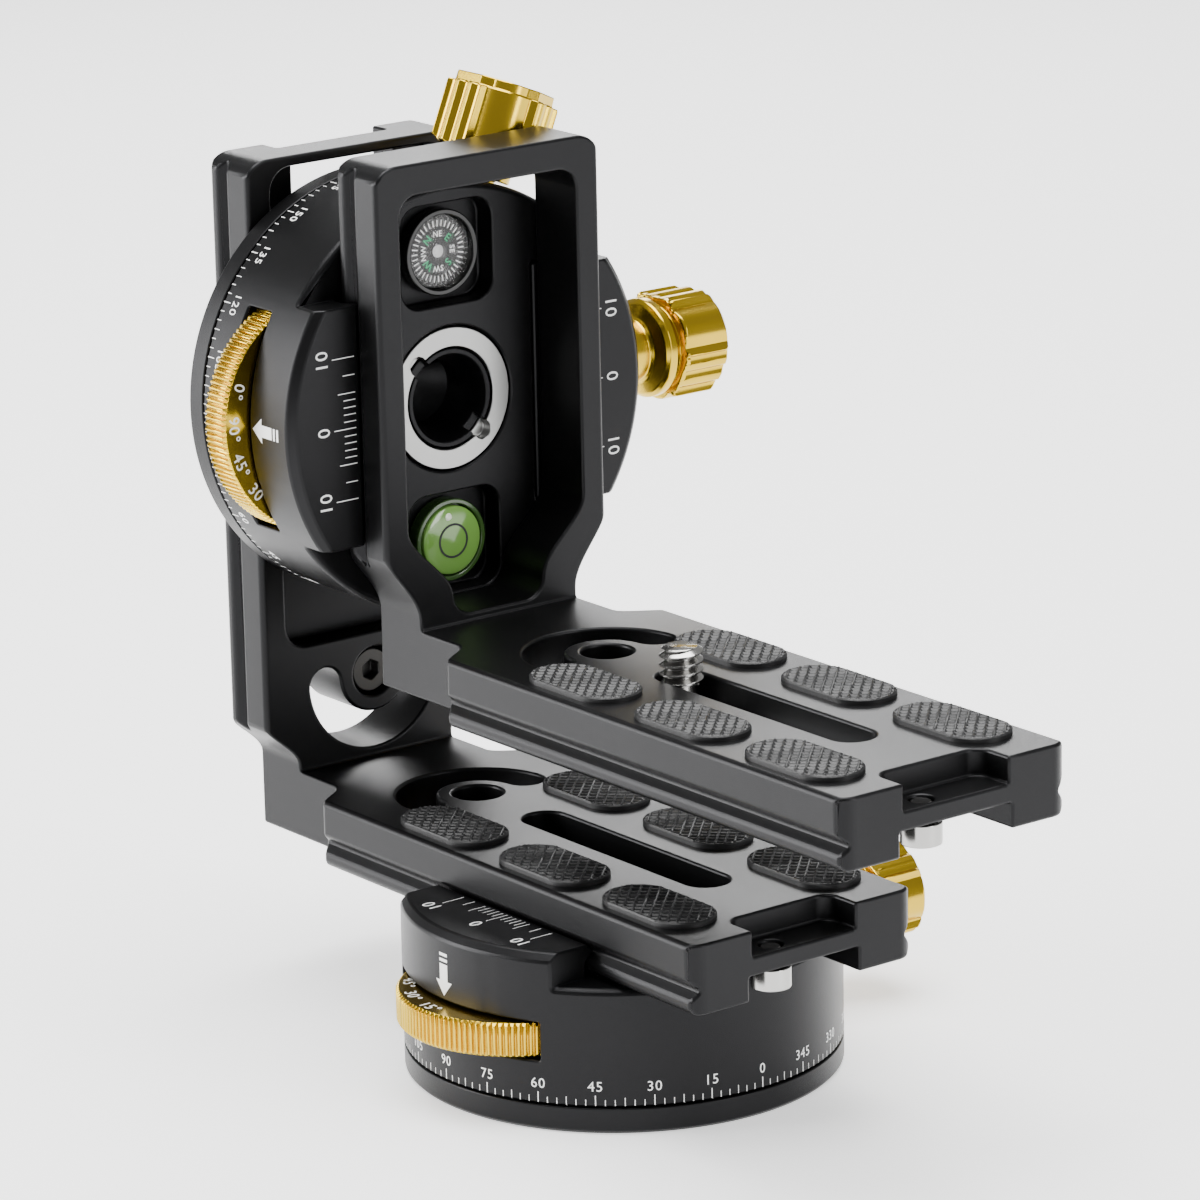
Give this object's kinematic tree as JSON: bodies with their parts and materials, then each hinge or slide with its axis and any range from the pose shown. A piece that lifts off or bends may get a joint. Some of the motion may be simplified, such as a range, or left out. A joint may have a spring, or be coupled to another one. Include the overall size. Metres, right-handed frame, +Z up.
{
  "type": "panoramic tripod head",
  "caption": "Indexing pan rotator with dovetail clamp, carrying two L-brackets and a second tilting rotator, for turning a camera about its lens in even steps.",
  "frame": {"origin": "middle of the whole head's footprint, on the face that stands on the tripod", "axes": "+Z up along the pan axis, +X along both camera decks away from the upright arms, +Y towards the clamp knobs"},
  "size_m": [0.1376, 0.0844, 0.1306],
  "materials": {
    "anodised_black": "fine bead-blasted black anodised aluminium",
    "gold_anodised": "bright gold anodised turned aluminium",
    "steel": "turned stainless steel",
    "spring_steel": "drawn spring wire",
    "nut_plate": "satin nickel plated",
    "rubber": "moulded rubber with a diamond grid",
    "black_plastic": "satin moulded plastic",
    "clear_dome": "clear moulded acrylic",
    "level_liquid": "green liquid under clear acrylic"
  },
  "bodies": {
    "tripod_base": {"pan_base": "anodised_black", "pan_index_plate": "steel", "pan_spindle": "anodised_black", "pan_ring_nut": "nut_plate"},
    "pan_head": {"pan_body": "anodised_black", "pan_guide_pin_left": "steel", "pan_guide_pin_right": "steel", "pan_compass_case": "black_plastic", "pan_compass_glass": "clear_dome", "pan_level_case": "black_plastic", "pan_level_vial": "level_liquid"},
    "pan_dial": {"pan_index_dial": "gold_anodised", "pan_detent_spring": "spring_steel"},
    "pan_plunger": {"pan_detent_plunger": "steel"},
    "pan_jaw": {"pan_clamp_jaw": "anodised_black"},
    "pan_clamp": {"pan_clamp_knob": "gold_anodised", "pan_clamp_screw": "steel"},
    "pan_lock": {"pan_lock_knob": "gold_anodised"},
    "pan_brake": {"pan_brake_shoe": "black_plastic"},
    "lower_arm": {"lower_bracket": "anodised_black", "lower_pad_1": "rubber", "lower_pad_2": "rubber", "lower_pad_3": "rubber", "lower_pad_4": "rubber", "lower_pad_5": "rubber", "lower_pad_6": "rubber", "lower_limit_screw": "steel", "upright_eye_screw": "steel", "tilt_mount_screw": "steel", "tilt_base": "anodised_black", "tilt_index_plate": "steel", "tilt_spindle": "anodised_black", "tilt_ring_nut": "nut_plate"},
    "tilt_head": {"tilt_body": "anodised_black", "tilt_guide_pin_left": "steel", "tilt_guide_pin_right": "steel", "tilt_compass_case": "black_plastic", "tilt_compass_glass": "clear_dome", "tilt_level_case": "black_plastic", "tilt_level_vial": "level_liquid"},
    "tilt_dial": {"tilt_index_dial": "gold_anodised", "tilt_detent_spring": "spring_steel"},
    "tilt_plunger": {"tilt_detent_plunger": "steel"},
    "tilt_jaw": {"tilt_clamp_jaw": "anodised_black"},
    "tilt_clamp": {"tilt_clamp_knob": "gold_anodised", "tilt_clamp_screw": "steel"},
    "tilt_lock": {"tilt_lock_knob": "gold_anodised"},
    "tilt_brake": {"tilt_brake_shoe": "black_plastic"},
    "camera_arm": {"upper_bracket": "anodised_black", "upper_pad_1": "rubber", "upper_pad_2": "rubber", "upper_pad_3": "rubber", "upper_pad_4": "rubber", "upper_pad_5": "rubber", "upper_pad_6": "rubber", "upper_limit_screw": "steel"},
    "camera_bolt": {"camera_screw": "steel"}
  },
  "joints": [
    {"name": "pan_turn", "type": "hinge", "parent": "tripod_base", "child": "pan_head", "pos_m": [-0.00172, -0.00765, 0.004], "axis": [0, 0, 1], "continuous": true},
    {"name": "pan_dial_turn", "type": "hinge", "parent": "pan_head", "child": "pan_dial", "pos_m": [-0.00172, -0.02525, 0.0126], "axis": [0, 0, 1], "range_deg": [0, 80]},
    {"name": "pan_detent_drop", "type": "slide", "parent": "pan_dial", "child": "pan_plunger", "axis": [0, 0, -1], "range_m": [0, 0.0013]},
    {"name": "pan_jaw_slide", "type": "slide", "parent": "pan_head", "child": "pan_jaw", "axis": [0, 1, 0], "range_m": [0, 0.003]},
    {"name": "pan_clamp_turn", "type": "hinge", "parent": "pan_jaw", "child": "pan_clamp", "pos_m": [-0.00172, -0.00765, 0.0143], "axis": [0, 1, 0], "range_deg": [0, 1081]},
    {"name": "pan_lock_turn", "type": "hinge", "parent": "pan_brake", "child": "pan_lock", "pos_m": [-0.03499, 0.00613, 0.0121], "axis": [0.9239, -0.3827, 0], "range_deg": [0, 90.5]},
    {"name": "pan_brake_press", "type": "slide", "parent": "pan_head", "child": "pan_brake", "axis": [0.9239, -0.3827, 0], "range_m": [0, 0.00025]},
    {"name": "lower_arm_slide", "type": "slide", "parent": "pan_head", "child": "lower_arm", "axis": [1, 0, 0], "range_m": [-0.02, 0.01]},
    {"name": "tilt_turn", "type": "hinge", "parent": "lower_arm", "child": "tilt_head", "pos_m": [-0.05872, -0.00765, 0.08715], "axis": [1, 0, 0], "continuous": true},
    {"name": "tilt_dial_turn", "type": "hinge", "parent": "tilt_head", "child": "tilt_dial", "pos_m": [-0.04612, -0.02525, 0.08715], "axis": [1, 0, 0], "range_deg": [-60, 20]},
    {"name": "tilt_detent_drop", "type": "slide", "parent": "tilt_dial", "child": "tilt_plunger", "axis": [-1, 0, 0], "range_m": [0, 0.0013]},
    {"name": "tilt_jaw_slide", "type": "slide", "parent": "tilt_head", "child": "tilt_jaw", "axis": [0, 1, 0], "range_m": [0, 0.003]},
    {"name": "tilt_clamp_turn", "type": "hinge", "parent": "tilt_jaw", "child": "tilt_clamp", "pos_m": [-0.04442, -0.00765, 0.08715], "axis": [0, 1, 0], "range_deg": [0, 1081]},
    {"name": "tilt_lock_turn", "type": "hinge", "parent": "tilt_brake", "child": "tilt_lock", "pos_m": [-0.04662, 0.00613, 0.12041], "axis": [0, -0.3827, -0.9239], "range_deg": [0, 90.5]},
    {"name": "tilt_brake_press", "type": "slide", "parent": "tilt_head", "child": "tilt_brake", "axis": [0, -0.3827, -0.9239], "range_m": [0, 0.00025]},
    {"name": "camera_arm_slide", "type": "slide", "parent": "tilt_head", "child": "camera_arm", "axis": [0, 0, 1], "range_m": [-0.01, 0.01]},
    {"name": "camera_bolt_slide", "type": "slide", "parent": "camera_arm", "child": "camera_bolt", "axis": [1, 0, 0], "range_m": [0, 0.035]}
  ],
  "couplings": [
    {"joint": "pan_clamp_turn", "follows": "pan_jaw_slide", "rad_per_m": 6283.2},
    {"joint": "pan_lock_turn", "follows": "pan_brake_press", "rad_per_m": 6283.2},
    {"joint": "tilt_clamp_turn", "follows": "tilt_jaw_slide", "rad_per_m": 6283.2},
    {"joint": "tilt_lock_turn", "follows": "tilt_brake_press", "rad_per_m": 6283.2}
  ]
}
